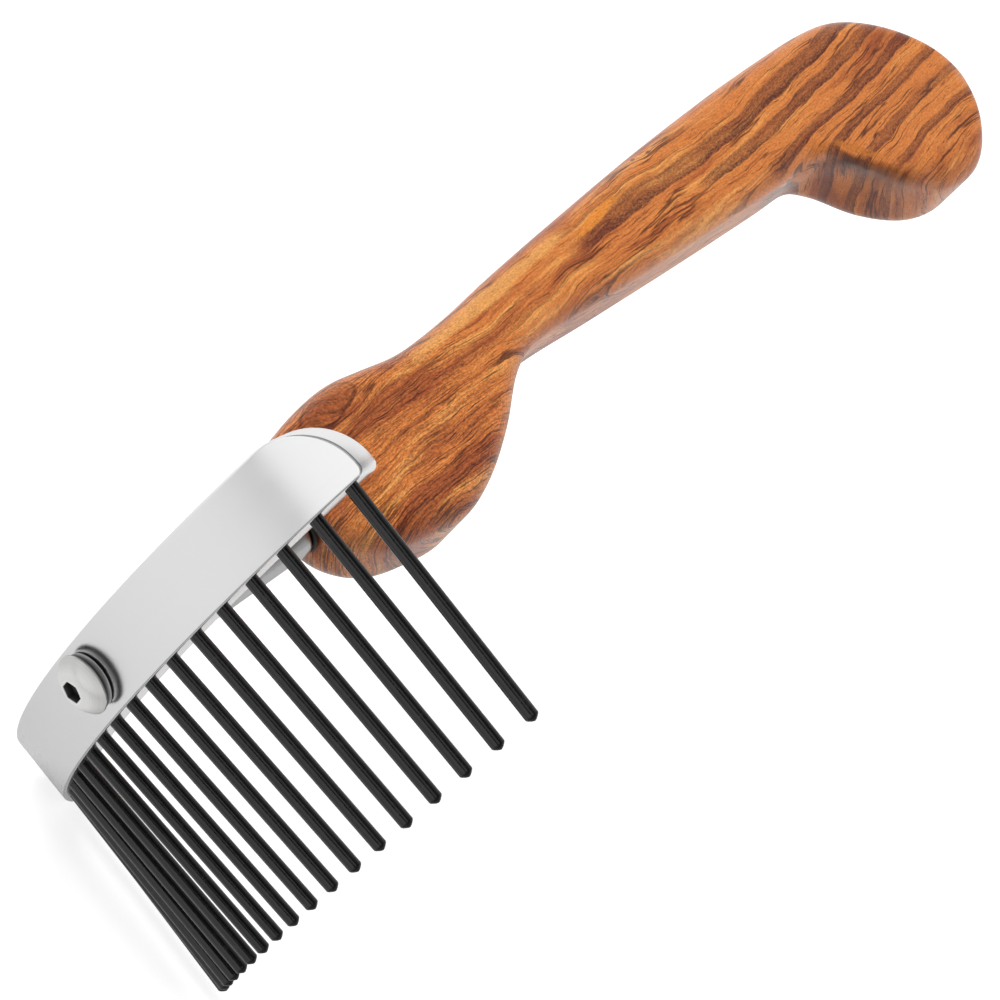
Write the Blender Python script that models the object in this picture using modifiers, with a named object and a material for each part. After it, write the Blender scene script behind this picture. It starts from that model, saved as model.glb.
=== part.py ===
# Grooming rake: a curved steel head plate with a row of round tines, screwed to the end of a
# steel rod that is set in a carved wood handle.
#
# Lengths are in metres. X points the way the tines do, Y runs along the handle away from the
# head, and Z goes across the head, so the rake lies on its side. The pieces are laid out from
# the head: X = 0 at the plate's lower edge, Y = 0 on the line of the tines and Z = 0 at the
# screw. The rake empty then carries them to the object's own origin, which is on the surface
# below the middle of the whole.

import math

import bmesh
import bpy
import numpy as np
from mathutils import Matrix, Vector

MM = 0.001

# Clearances
FIT_GAP = 0.3 * MM
STACK_GAP = 0.2 * MM

# Head plate: a flat blank bent round an arc, hollow side to the handle. The bend radius is that
# of the line of the tines, and the middle of the plate is a little to the -Z side of the screw.
PLATE_BEND_RADIUS = 110.0 * MM
PLATE_LENGTH = 126.4 * MM
PLATE_HEIGHT = 12.0 * MM
PLATE_THICKNESS = 5.6 * MM
PLATE_MIDDLE_Z = -2.0 * MM
PLATE_SPINE_CORNER_LENGTH = 11.0 * MM
PLATE_SPINE_CORNER_HEIGHT = 10.4 * MM
PLATE_ROOT_CORNER = 1.3 * MM
PLATE_EDGE_CHAMFER = 0.4 * MM

# Tines, set in blind holes in the plate's lower edge. Those in the middle lean back towards the
# handle and those at the ends lean forward, so their tips stand in a flatter arc.
TINE_COUNT = 18
TINE_PITCH = 7.0 * MM
TINE_DIAMETER = 2.1 * MM
TINE_LENGTH = 38.7 * MM
TINE_SEAT_DEPTH = 2.8 * MM
TINE_SETBACK = 1.9 * MM
TINE_TIP_ANGLE = math.radians(118.0)
TINE_LEAN_BACK = 0.05
TINE_LEAN_FORWARD = 0.31

# Button head screw with its hex socket, the shank drawn at its thread's pitch diameter
SCREW_HEIGHT_ON_PLATE = 6.3 * MM
SCREW_THREAD_DIAMETER = 4.5 * MM
SCREW_LENGTH = 16.0 * MM
SCREW_HEAD_DIAMETER = 9.5 * MM
SCREW_HEAD_HEIGHT = 2.75 * MM
SCREW_HEAD_RIM = 0.35 * MM
SCREW_SOCKET_FLATS = 3.0 * MM
SCREW_SOCKET_DEPTH = 1.7 * MM

# Split washer under the screw's head
LOCK_WASHER_DIAMETER = 8.8 * MM
LOCK_WASHER_THICKNESS = 1.0 * MM
LOCK_WASHER_SPLIT = 0.8 * MM
LOCK_WASHER_SPLIT_SLANT = math.radians(20.0)

# Rod between the head and the handle
ROD_DIAMETER = 6.8 * MM
ROD_SHOULDER_Y = 40.8 * MM
ROD_CHAMFER = 0.5 * MM
ROD_TANG_DIAMETER = 5.4 * MM
ROD_TANG_LENGTH = 26.0 * MM

# Black ring between the rod's shoulder and the wood
SPACER_THICKNESS = 0.8 * MM

# Wood handle: its ribs from nose to pommel, each as the back's Y and height and the belly's
# Y and height above the plate's lower edge, in millimetres
HANDLE_RIBS = (
    (42.0, 11.7, 42.0, 3.0),
    (42.7, 15.9, 43.9, -0.8),
    (45.1, 19.4, 49.0, -4.5),
    (51.2, 21.0, 56.2, -6.3),
    (58.0, 21.6, 63.5, -6.9),
    (64.5, 20.7, 71.2, -4.5),
    (72.6, 19.5, 79.6, 0.2),
    (84.0, 20.1, 88.5, 6.5),
    (96.0, 21.6, 97.0, 8.8),
    (115.0, 23.5, 116.0, 8.1),
    (137.0, 25.4, 139.0, 7.3),
    (158.0, 26.6, 159.0, 6.8),
    (168.0, 26.9, 169.3, 6.5),
    (176.0, 27.0, 175.2, 2.5),
    (184.0, 26.9, 180.7, -4.4),
    (191.5, 25.9, 187.8, -9.5),
    (197.6, 22.9, 195.0, -11.0),
    (203.2, 17.9, 200.7, -9.3),
    (207.3, 11.5, 206.2, -3.4),
    (209.7, 5.9, 209.2, 3.6),
)
HANDLE_THICKNESS = 18.5 * MM
HANDLE_ROUND_OVER = 4.5 * MM
HANDLE_NOSE_WIDTH = 11.0 * MM
HANDLE_NOSE_TAPER = 11.0 * MM
HANDLE_END_WIDTH = 9.5 * MM
HANDLE_END_TAPER = 5.5 * MM
HANDLE_STEPS_PER_RIB = 4
HANDLE_RING_POINTS = 28

# Facets round a turned piece, and along the plate's bend
ROUND_STEPS = 32
TINE_STEPS = 14
HOLE_STEPS = 16
PLATE_SLICES = 20

SCREW_X = -SCREW_HEIGHT_ON_PLATE
PLATE_FRONT_Y = -TINE_SETBACK
PLATE_BACK_Y = PLATE_FRONT_Y + PLATE_THICKNESS
LOCK_WASHER_Y = PLATE_FRONT_Y - STACK_GAP - LOCK_WASHER_THICKNESS
SCREW_SEAT_Y = LOCK_WASHER_Y - STACK_GAP
SPACER_Y = ROD_SHOULDER_Y + STACK_GAP
NOSE_Y = HANDLE_RIBS[0][0] * MM
CLEARANCE_HOLE_RADIUS = SCREW_THREAD_DIAMETER / 2 + FIT_GAP


def clear_scene():
    for old in list(bpy.data.objects):
        bpy.data.objects.remove(old, do_unlink=True)


def collection(name):
    made = bpy.data.collections.new(name)
    bpy.context.scene.collection.children.link(made)
    return made


def material(name, colour, roughness, metallic):
    made = bpy.data.materials.new(name)
    made.use_nodes = True
    shader = made.node_tree.nodes["Principled BSDF"]
    shader.inputs["Base Color"].default_value = (*colour, 1.0)
    shader.inputs["Roughness"].default_value = roughness
    shader.inputs["Metallic"].default_value = metallic
    return made


def add_object(name, mesh, home, parent=None, look=None):
    made = bpy.data.objects.new(name, mesh)
    home.objects.link(made)
    made.parent = parent
    if look:
        mesh.materials.append(look)
    return made


def shade(mesh, angle=math.radians(35)):
    mesh.shade_smooth()
    mesh.set_sharp_from_angle(angle=angle)


def mesh_from(bm, name):
    bmesh.ops.recalc_face_normals(bm, faces=bm.faces)
    mesh = bpy.data.meshes.new(name)
    bm.to_mesh(mesh)
    bm.free()
    shade(mesh)
    return mesh


def turned_mesh(name, profile, steps):
    # The profile is a list of radius and height, from the top down the outer side. It is spun
    # round Z, and the result is applied so that copies can share it.
    mesh = bpy.data.meshes.new(name + "_profile")
    points = [(radius, 0.0, height) for radius, height in profile]
    mesh.from_pydata(points, [(i, i + 1) for i in range(len(points) - 1)], [])
    blank = bpy.data.objects.new(name + "_profile", mesh)
    bpy.context.scene.collection.objects.link(blank)
    spin = blank.modifiers.new("Screw", "SCREW")
    spin.steps = steps
    spin.render_steps = steps
    spin.use_merge_vertices = True
    spin.merge_threshold = 1e-6
    graph = bpy.context.evaluated_depsgraph_get()
    turned = bpy.data.meshes.new_from_object(blank.evaluated_get(graph))
    turned.name = name
    bpy.data.objects.remove(blank, do_unlink=True)
    bpy.data.meshes.remove(mesh)
    shade(turned)
    return turned


def along_rod(y):
    # Places a turned piece on the screw's axis, its own +Z pointing out of the plate's front.
    return Matrix.Translation((SCREW_X, y, 0.0)) @ Matrix.Rotation(math.pi / 2, 4, "X")


def cutter_object(name, bm, cutters, parent):
    made = add_object(name, mesh_from(bm, name), cutters, parent)
    made.hide_render = True
    made.display_type = "WIRE"
    return made


def cut(target, cutter):
    boolean = target.modifiers.new(cutter.name, "BOOLEAN")
    boolean.operation = "DIFFERENCE"
    boolean.object = cutter


def add_cylinder(bm, radius, start, end, steps=HOLE_STEPS):
    # A closed cylinder from one point to another.
    axis = Vector(end) - Vector(start)
    turn = axis.to_track_quat("Z", "X").to_matrix().to_4x4()
    place = Matrix.Translation((Vector(start) + Vector(end)) / 2) @ turn
    bmesh.ops.create_cone(
        bm, cap_ends=True, segments=steps, radius1=radius, radius2=radius,
        depth=axis.length, matrix=place,
    )


def row_angles():
    first = PLATE_MIDDLE_Z - TINE_PITCH * (TINE_COUNT - 1) / 2
    return [(first + i * TINE_PITCH) / PLATE_BEND_RADIUS for i in range(TINE_COUNT)]


def root_point(angle):
    # Where a tine leaves the plate's lower edge.
    radius = PLATE_BEND_RADIUS
    return Vector((0.0, radius * (1 - math.cos(angle)), radius * math.sin(angle)))


def tine_direction(angle):
    return Vector((1.0, TINE_LEAN_BACK - TINE_LEAN_FORWARD * math.sin(angle) ** 2, 0.0)).normalized()


def corner(centre, radii, start, steps):
    # A quarter of an ellipse, as points of length along the plate and height.
    angles = np.linspace(start, start + math.pi / 2, steps + 1)
    return [(centre[0] + radii[0] * math.cos(a), centre[1] + radii[1] * math.sin(a)) for a in angles]


def blank_outline():
    # The plate before it is bent. Its spine is at -PLATE_HEIGHT and its tine edge at 0.
    half = PLATE_LENGTH / 2
    root = PLATE_ROOT_CORNER
    root_radii = (root, root)
    spine_radii = (PLATE_SPINE_CORNER_LENGTH, PLATE_SPINE_CORNER_HEIGHT)
    spine_x, spine_y = half - spine_radii[0], spine_radii[1] - PLATE_HEIGHT
    points = corner((half - root, -root), root_radii, 0, 3)
    points += corner((root - half, -root), root_radii, math.pi / 2, 3)
    points += corner((-spine_x, spine_y), spine_radii, math.pi, 8)
    points += corner((spine_x, spine_y), spine_radii, 1.5 * math.pi, 8)
    return points


def build_plate(home, cutters, rake, look):
    bm = bmesh.new()
    rim = [bm.verts.new((length, height, -PLATE_BACK_Y)) for length, height in blank_outline()]
    face = bm.faces.new(rim)
    raised = bmesh.ops.extrude_face_region(bm, geom=[face])["geom"]
    lifted = [item for item in raised if isinstance(item, bmesh.types.BMVert)]
    bmesh.ops.translate(bm, verts=lifted, vec=(0, 0, PLATE_THICKNESS))
    rim_edges = [edge for edge in bm.edges if abs(edge.verts[0].co.z - edge.verts[1].co.z) < 1e-9]
    bmesh.ops.bevel(bm, geom=rim_edges, offset=PLATE_EDGE_CHAMFER, segments=1, affect="EDGES")
    # Slices across the blank let it follow the bend.
    for station in np.linspace(-PLATE_LENGTH / 2, PLATE_LENGTH / 2, PLATE_SLICES + 1)[1:-1]:
        geometry = bm.verts[:] + bm.edges[:] + bm.faces[:]
        bmesh.ops.bisect_plane(bm, geom=geometry, plane_co=(station, 0, 0), plane_no=(1, 0, 0))
    for vert in bm.verts:
        length, height, outward = vert.co
        angle = (length + PLATE_MIDDLE_Z) / PLATE_BEND_RADIUS
        radius = PLATE_BEND_RADIUS + outward
        vert.co = (height, PLATE_BEND_RADIUS - radius * math.cos(angle), radius * math.sin(angle))
    plate = add_object("head_plate", mesh_from(bm, "head_plate"), home, rake, look)

    holes = bmesh.new()
    for angle in row_angles():
        root, way = root_point(angle), tine_direction(angle)
        top = root - way * (TINE_SEAT_DEPTH + FIT_GAP)
        add_cylinder(holes, TINE_DIAMETER / 2 + FIT_GAP, top, root + way * 2 * MM, steps=12)
    cut(plate, cutter_object("tine_holes", holes, cutters, rake))
    bolt_hole = bmesh.new()
    start = (SCREW_X, -2 * PLATE_THICKNESS, 0)
    add_cylinder(bolt_hole, CLEARANCE_HOLE_RADIUS, start, (SCREW_X, 2 * PLATE_THICKNESS, 0))
    cut(plate, cutter_object("screw_hole", bolt_hole, cutters, rake))
    return plate


def build_tines(home, rake, look):
    # Each tine hangs from the top of its hole and points down its own -Z.
    radius = TINE_DIAMETER / 2
    length = TINE_SEAT_DEPTH + TINE_LENGTH
    tip = radius / math.tan(TINE_TIP_ANGLE / 2)
    ease = 0.2 * MM
    profile = [
        (0.0, 0.0),
        (radius - ease, 0.0),
        (radius, -ease),
        (radius, tip - length),
        (0.0, -length),
    ]
    mesh = turned_mesh("tine", profile, TINE_STEPS)
    mesh.materials.append(look)
    for number, angle in enumerate(row_angles(), start=1):
        tine = add_object(f"tine_{number:02d}", mesh, home, rake)
        way = tine_direction(angle)
        tine.location = root_point(angle) - way * TINE_SEAT_DEPTH
        tine.rotation_mode = "QUATERNION"
        tine.rotation_quaternion = way.to_track_quat("-Z", "Y")


def build_screw(home, cutters, rake, look):
    rim_radius = SCREW_HEAD_DIAMETER / 2
    shank = SCREW_THREAD_DIAMETER / 2
    rise = SCREW_HEAD_HEIGHT - SCREW_HEAD_RIM
    dome_radius = (rim_radius**2 + rise**2) / (2 * rise)
    half_angle = math.asin(rim_radius / dome_radius)
    centre = SCREW_HEAD_HEIGHT - dome_radius
    profile = [
        (dome_radius * math.sin(a), centre + dome_radius * math.cos(a))
        for a in np.linspace(0, half_angle, 8)
    ]
    profile += [
        (rim_radius, 0.0),
        (shank, 0.0),
        (shank, 0.5 * MM - SCREW_LENGTH),
        (shank - 0.5 * MM, -SCREW_LENGTH),
        (0.0, -SCREW_LENGTH),
    ]
    screw = add_object("head_screw", turned_mesh("head_screw", profile, ROUND_STEPS), home, rake, look)
    screw.matrix_basis = along_rod(SCREW_SEAT_Y)
    socket = bmesh.new()
    across_corners = SCREW_SOCKET_FLATS / math.cos(math.pi / 6)
    floor = SCREW_HEAD_HEIGHT - SCREW_SOCKET_DEPTH
    add_cylinder(socket, across_corners / 2, (0, 0, floor), (0, 0, 2 * SCREW_HEAD_HEIGHT), steps=6)
    hex_cutter = cutter_object("screw_socket", socket, cutters, rake)
    hex_cutter.matrix_basis = along_rod(SCREW_SEAT_Y)
    cut(screw, hex_cutter)


def ring_profile(outer, inner, thickness):
    # A closed rectangle, from its inner top corner out and down.
    return [(inner, thickness), (outer, thickness), (outer, 0.0), (inner, 0.0), (inner, thickness)]


def build_washer(home, cutters, rake, look):
    ring = ring_profile(LOCK_WASHER_DIAMETER / 2, CLEARANCE_HOLE_RADIUS, LOCK_WASHER_THICKNESS)
    washer = add_object("lock_washer", turned_mesh("lock_washer", ring, ROUND_STEPS), home, rake, look)
    washer.matrix_basis = along_rod(LOCK_WASHER_Y + LOCK_WASHER_THICKNESS)
    # The split is a slanted saw cut through one side of the ring.
    slot = bmesh.new()
    bmesh.ops.create_cube(slot, size=1.0)
    size = Matrix.Diagonal((LOCK_WASHER_DIAMETER, LOCK_WASHER_SPLIT, 4 * LOCK_WASHER_THICKNESS, 1.0))
    slant = Matrix.Rotation(LOCK_WASHER_SPLIT_SLANT, 4, "X")
    aside = Matrix.Translation((LOCK_WASHER_DIAMETER / 2, 0, LOCK_WASHER_THICKNESS / 2))
    slot.transform(aside @ slant @ size)
    saw = cutter_object("lock_washer_split", slot, cutters, rake)
    saw.matrix_basis = along_rod(LOCK_WASHER_Y + LOCK_WASHER_THICKNESS)
    cut(washer, saw)


def build_rod(home, rake, look):
    # Turned in one piece: the tapped bore at the front, the shoulder and the tang in the wood.
    front = PLATE_BACK_Y + FIT_GAP
    bore_end = SCREW_SEAT_Y + SCREW_LENGTH + 2 * MM
    outer, tang = ROD_DIAMETER / 2, ROD_TANG_DIAMETER / 2
    end = ROD_SHOULDER_Y + ROD_TANG_LENGTH
    profile = [
        (0.0, -bore_end),
        (CLEARANCE_HOLE_RADIUS, -bore_end),
        (CLEARANCE_HOLE_RADIUS, -front),
        (outer - ROD_CHAMFER / 2, -front),
        (outer, -front - ROD_CHAMFER / 2),
        (outer, ROD_CHAMFER - ROD_SHOULDER_Y),
        (outer - ROD_CHAMFER, -ROD_SHOULDER_Y),
        (tang, -ROD_SHOULDER_Y),
        (tang, ROD_CHAMFER - end),
        (tang - ROD_CHAMFER, -end),
        (0.0, -end),
    ]
    rod = add_object("support_rod", turned_mesh("support_rod", profile, ROUND_STEPS), home, rake, look)
    rod.matrix_basis = along_rod(0.0)


def build_spacer(home, rake, look):
    profile = ring_profile(ROD_DIAMETER / 2, ROD_TANG_DIAMETER / 2 + FIT_GAP, SPACER_THICKNESS)
    spacer = add_object("rod_spacer", turned_mesh("rod_spacer", profile, ROUND_STEPS), home, rake, look)
    spacer.matrix_basis = along_rod(SPACER_Y + SPACER_THICKNESS)


def smooth_rows(rows, steps):
    # A Catmull-Rom curve through the rows, each span cut into the given number of steps.
    rows = np.asarray(rows, float)
    ends = np.vstack([2 * rows[0] - rows[1], rows, 2 * rows[-1] - rows[-2]])
    made = []
    for a, b, c, d in zip(ends, ends[1:], ends[2:], ends[3:]):
        for t in np.arange(steps) / steps:
            bend = (2 * a - 5 * b + 4 * c - d) * t**2 + (3 * b - a - 3 * c + d) * t**3
            made.append(0.5 * (2 * b + (c - a) * t + bend))
    return np.array(made + [rows[-1]])


def rib_width(y, start, end):
    # Half the handle's thickness, drawn in round at the nose and at the pommel.
    full = HANDLE_THICKNESS / 2
    half = full
    for distance, tip, taper in (
        (y - start, HANDLE_NOSE_WIDTH / 2, HANDLE_NOSE_TAPER),
        (end - y, HANDLE_END_WIDTH / 2, HANDLE_END_TAPER),
    ):
        if distance < taper:
            short = 1 - max(distance, 0) / taper
            half = min(half, tip + (full - tip) * math.sqrt(1 - short**2))
    return half


def build_handle(home, cutters, rake, look):
    # Rings lofted through the ribs, each a rectangle from the back to the belly with its corners
    # rounded over. A ring too small for the full round takes what fits.
    rows = smooth_rows(HANDLE_RIBS, HANDLE_STEPS_PER_RIB) * MM
    start, end = rows[0][0], rows[-1][0]
    angles = (np.arange(HANDLE_RING_POINTS) + 0.5) * 2 * math.pi / HANDLE_RING_POINTS
    bm = bmesh.new()
    rings = []
    for back_y, back_height, belly_y, belly_height in rows:
        middle = Vector((-(back_height + belly_height) / 2, (back_y + belly_y) / 2, 0))
        across = Vector((-(back_height - belly_height) / 2, (back_y - belly_y) / 2, 0))
        half_width = rib_width(middle.y, start, end)
        ease = min(HANDLE_ROUND_OVER, across.length - FIT_GAP, half_width - FIT_GAP)
        ring = []
        for angle in angles:
            up, out = math.cos(angle), math.sin(angle)
            rise = math.copysign(across.length - ease, up) + ease * up
            reach = math.copysign(half_width - ease, out) + ease * out
            ring.append(bm.verts.new(middle + across.normalized() * rise + Vector((0, 0, reach))))
        rings.append(ring)
    for ring, following in zip(rings, rings[1:]):
        for i in range(HANDLE_RING_POINTS):
            j = (i + 1) % HANDLE_RING_POINTS
            bm.faces.new((ring[i], ring[j], following[j], following[i]))
    bm.faces.new(rings[0])
    bm.faces.new(rings[-1])
    handle = add_object("wood_handle", mesh_from(bm, "wood_handle"), home, rake, look)

    socket = bmesh.new()
    deepest = ROD_SHOULDER_Y + ROD_TANG_LENGTH + FIT_GAP
    radius = ROD_TANG_DIAMETER / 2 + FIT_GAP
    add_cylinder(socket, radius, (SCREW_X, NOSE_Y - 5 * MM, 0), (SCREW_X, deepest, 0))
    cut(handle, cutter_object("tang_socket", socket, cutters, rake))


def origin_offset():
    # From the middle of the head to the origin, from the extents of the pieces that set them.
    lowest_angle = (PLATE_MIDDLE_Z - PLATE_LENGTH / 2) / PLATE_BEND_RADIUS
    end_radius = PLATE_BEND_RADIUS + TINE_SETBACK - PLATE_EDGE_CHAMFER
    lowest = end_radius * math.sin(lowest_angle)
    tallest = max(rib[1] for rib in HANDLE_RIBS) * MM
    farthest = HANDLE_RIBS[-1][0] * MM
    nearest = SCREW_SEAT_Y - SCREW_HEAD_HEIGHT
    return Vector((-(TINE_LENGTH - tallest) / 2, -(nearest + farthest) / 2, -lowest))


def main():
    clear_scene()
    home = collection("grooming_rake")
    cutters = collection("cutters")
    plate_steel = material("plate_steel", (0.72, 0.72, 0.73), 0.35, 1.0)
    tine_black = material("tine_black", (0.03, 0.03, 0.033), 0.3, 0.0)
    screw_steel = material("screw_steel", (0.6, 0.6, 0.61), 0.25, 1.0)
    washer_steel = material("washer_steel", (0.42, 0.42, 0.43), 0.4, 1.0)
    rod_steel = material("rod_steel", (0.58, 0.58, 0.59), 0.35, 1.0)
    spacer_black = material("spacer_black", (0.015, 0.015, 0.015), 0.6, 0.0)
    handle_wood = material("handle_wood", (0.5, 0.16, 0.045), 0.45, 0.0)
    rake = add_object("rake", None, home)
    rake.location = origin_offset()
    build_plate(home, cutters, rake, plate_steel)
    build_tines(home, rake, tine_black)
    build_screw(home, cutters, rake, screw_steel)
    build_washer(home, cutters, rake, washer_steel)
    build_rod(home, rake, rod_steel)
    build_spacer(home, rake, spacer_black)
    build_handle(home, cutters, rake, handle_wood)


main()
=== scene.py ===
import math

import bmesh
import bpy
import numpy as np
from mathutils import Matrix, Vector


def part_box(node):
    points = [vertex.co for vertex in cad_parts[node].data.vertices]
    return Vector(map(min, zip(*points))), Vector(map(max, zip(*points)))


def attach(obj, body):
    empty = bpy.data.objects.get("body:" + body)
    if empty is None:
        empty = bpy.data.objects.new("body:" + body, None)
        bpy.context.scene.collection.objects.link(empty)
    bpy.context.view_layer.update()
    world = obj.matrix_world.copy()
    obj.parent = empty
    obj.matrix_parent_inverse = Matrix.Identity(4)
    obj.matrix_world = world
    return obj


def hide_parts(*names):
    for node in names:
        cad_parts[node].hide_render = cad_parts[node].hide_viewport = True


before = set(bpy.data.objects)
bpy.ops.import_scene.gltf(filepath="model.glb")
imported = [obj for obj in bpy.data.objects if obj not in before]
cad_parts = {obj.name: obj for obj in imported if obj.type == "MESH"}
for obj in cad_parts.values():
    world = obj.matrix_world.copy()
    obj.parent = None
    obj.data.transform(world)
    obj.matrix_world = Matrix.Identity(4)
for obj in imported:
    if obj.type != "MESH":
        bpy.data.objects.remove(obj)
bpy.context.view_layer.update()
print("frame loaded:", len(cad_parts), "nodes")

# Points below are in millimetres from the head: x the way the tines point, y along the handle,
# z across the head. The rod, whose axis is the screw's, gives where that is in the frame.
head = {
    "screwHeight": 6.3,  # the screw's axis above the plate's lower edge
    "rodFront": 4.0,  # the rod's front end behind the line of the tines
}
rodLow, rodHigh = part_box("support_rod")
headPlace = np.array([
    (rodLow.x + rodHigh.x) / 2 + head["screwHeight"] / 1000,
    rodLow.y - head["rodFront"] / 1000,
    (rodLow.z + rodHigh.z) / 2,
])

meshing = {
    "weld": 2e-6,  # points nearer than this become one, in metres
    "sliver": 1e-6,  # edges shorter than this are taken out, in metres
    "sharp": 40,  # edges that turn by more are shaded sharp, in degrees
}


def gridQuads(rows, cols):
    # Quads between neighbours of a rows by cols grid whose columns close into rings.
    i, j = np.meshgrid(np.arange(rows - 1), np.arange(cols), indexing="ij")
    onward = (j + 1) % cols
    quads = [i * cols + j, i * cols + onward, (i + 1) * cols + onward, (i + 1) * cols + j]
    return np.stack(quads, -1).reshape(-1, 4)


def fullTurn(steps):
    return np.arange(steps) * 2 * np.pi / steps


def aroundAxis(radius, reach, angle):
    # Points round the screw's axis; reach runs out of the plate's front.
    x = radius * np.cos(angle) - head["screwHeight"]
    z = radius * np.sin(angle)
    return np.stack([x, 0 * z - reach, z], -1)


def readTable(at, table):
    # What a table of (place, value) pairs says at any places.
    return np.interp(at, *zip(*table))


def addObject(name, data):
    made = bpy.data.objects.new(name, data)
    bpy.context.scene.collection.objects.link(made)
    return made


def buildPiece(name, points, quads, look, node, masks=None):
    # Points become a mesh at its place in the frame, welded, facing out and shaded smooth.
    # Masks are one number a point, which the material reads as attributes.
    mesh = bpy.data.meshes.new(name)
    placed = points.reshape(-1, 3) / 1000 + headPlace
    mesh.from_pydata(placed.tolist(), [], quads.tolist())
    for label, values in (masks or {}).items():
        mesh.attributes.new(label, "FLOAT", "POINT")
        values = np.broadcast_to(values, points.shape[:2]).reshape(-1)
        mesh.attributes[label].data.foreach_set("value", values.astype(np.float32))
    shell = bmesh.new()
    shell.from_mesh(mesh)
    bmesh.ops.remove_doubles(shell, verts=shell.verts, dist=meshing["weld"])
    bmesh.ops.dissolve_degenerate(shell, edges=shell.edges, dist=meshing["sliver"])
    bmesh.ops.recalc_face_normals(shell, faces=shell.faces)
    shell.to_mesh(mesh)
    shell.free()
    mesh.shade_smooth()
    mesh.set_sharp_from_angle(angle=math.radians(meshing["sharp"]))
    mesh.materials.append(look)
    piece = addObject(name, mesh)
    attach(piece, "root")
    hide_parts(node)


def newLook(name):
    look = bpy.data.materials.new(name)
    look.use_nodes = True
    tree = look.node_tree
    return look, tree, tree.nodes["Principled BSDF"]


def put(tree, kind, inputs=None, **settings):
    # One node: its settings as attributes, its inputs as values or as sockets to link.
    made = tree.nodes.new(kind)
    for key, value in settings.items():
        setattr(made, key, value)
    for key, value in (inputs or {}).items():
        if isinstance(value, bpy.types.NodeSocket):
            tree.links.new(value, made.inputs[key])
        else:
            made.inputs[key].default_value = value
    return made


def sums(tree, operation, first, second=0, third=None):
    inputs = {0: first, 1: second}
    if third is not None:
        inputs[2] = third
    return put(tree, "ShaderNodeMath", inputs, operation=operation).outputs[0]


def weighed(tree, value, weight, onto):
    return sums(tree, "MULTIPLY_ADD", value, weight, onto)


def swung(tree, noise, weight, onto):
    # A value moved by a noise's distance from its middle.
    return weighed(tree, sums(tree, "SUBTRACT", noise, 0.5), weight, onto)


def vectorOf(tree, *parts):
    return put(tree, "ShaderNodeCombineXYZ", dict(enumerate(parts))).outputs[0]


def vectorSums(tree, operation, first, second):
    made = put(tree, "ShaderNodeVectorMath", {0: first, 1: second}, operation=operation)
    return made.outputs[0]


def lengthOf(tree, vector):
    made = put(tree, "ShaderNodeVectorMath", {0: vector}, operation="LENGTH")
    return made.outputs["Value"]


def scaled(tree, vector, amount):
    made = put(tree, "ShaderNodeVectorMath", {0: vector, "Scale": amount}, operation="SCALE")
    return made.outputs[0]


def partsOf(tree, vector):
    return put(tree, "ShaderNodeSeparateXYZ", {0: vector}).outputs


def objectSpot(tree):
    return put(tree, "ShaderNodeTexCoord").outputs["Object"]


def maskOf(tree, label):
    return put(tree, "ShaderNodeAttribute", attribute_name=label).outputs["Fac"]


def noiseOf(tree, spot, scale, detail, roughness):
    return put(tree, "ShaderNodeTexNoise", {
        "Vector": spot, "Scale": scale, "Detail": detail, "Roughness": roughness,
    }).outputs["Fac"]


def ramp(tree, source, stops, smooth="EASE"):
    made = put(tree, "ShaderNodeValToRGB", {"Fac": source})
    made.color_ramp.interpolation = smooth
    elements = made.color_ramp.elements
    while len(elements) < len(stops):
        elements.new(0.5)
    for element, (at, colour) in zip(elements, stops):
        element.position = at
        element.color = (*colour, 1)
    return made.outputs["Color"]


def levelRamp(tree, source, stops, smooth="EASE"):
    # A ramp of plain numbers.
    colour = ramp(tree, source, [(at, grey(level)) for at, level in stops], smooth)
    return put(tree, "ShaderNodeSeparateColor", {0: colour}).outputs[0]


def blend(tree, share, below, tint):
    # A share of a plain tint over what is below it, a socket or a tint too.
    if not isinstance(below, bpy.types.NodeSocket):
        below = (*below, 1)
    inputs = {0: share, 6: below, 7: (*tint, 1)}
    return put(tree, "ShaderNodeMix", inputs, data_type="RGBA").outputs[2]


def grey(value):
    return (value, value, value)


def setSurface(tree, shader, colour, gloss, height, relief, distance=0.00002):
    # Colour, roughness and bump of the whole shader; the bump's distance is in metres.
    bump = put(tree, "ShaderNodeBump", {
        "Height": height, "Distance": distance, "Strength": relief})
    wanted = {"Base Color": colour, "Roughness": gloss, "Normal": bump.outputs[0]}
    for label, value in wanted.items():
        tree.links.new(value, shader.inputs[label])


brush = {
    # the noise of the fine lines and of the unevenness below them: scale, detail, roughness
    "lines": (1, 4, 0.65), "slow": (0.11, 2, 0.5), "slowShare": 0.35,
    "gain": 5,  # spreads the noise to about -1 to 1
    "roughnessSwing": 0.12,
    # what the masks do: how dark painted shade is, how much rougher, and how much edges are
    # polished
    "shadeDark": 0.96, "shadeRough": 0.3, "edgePolish": 0.25,
}


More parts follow.
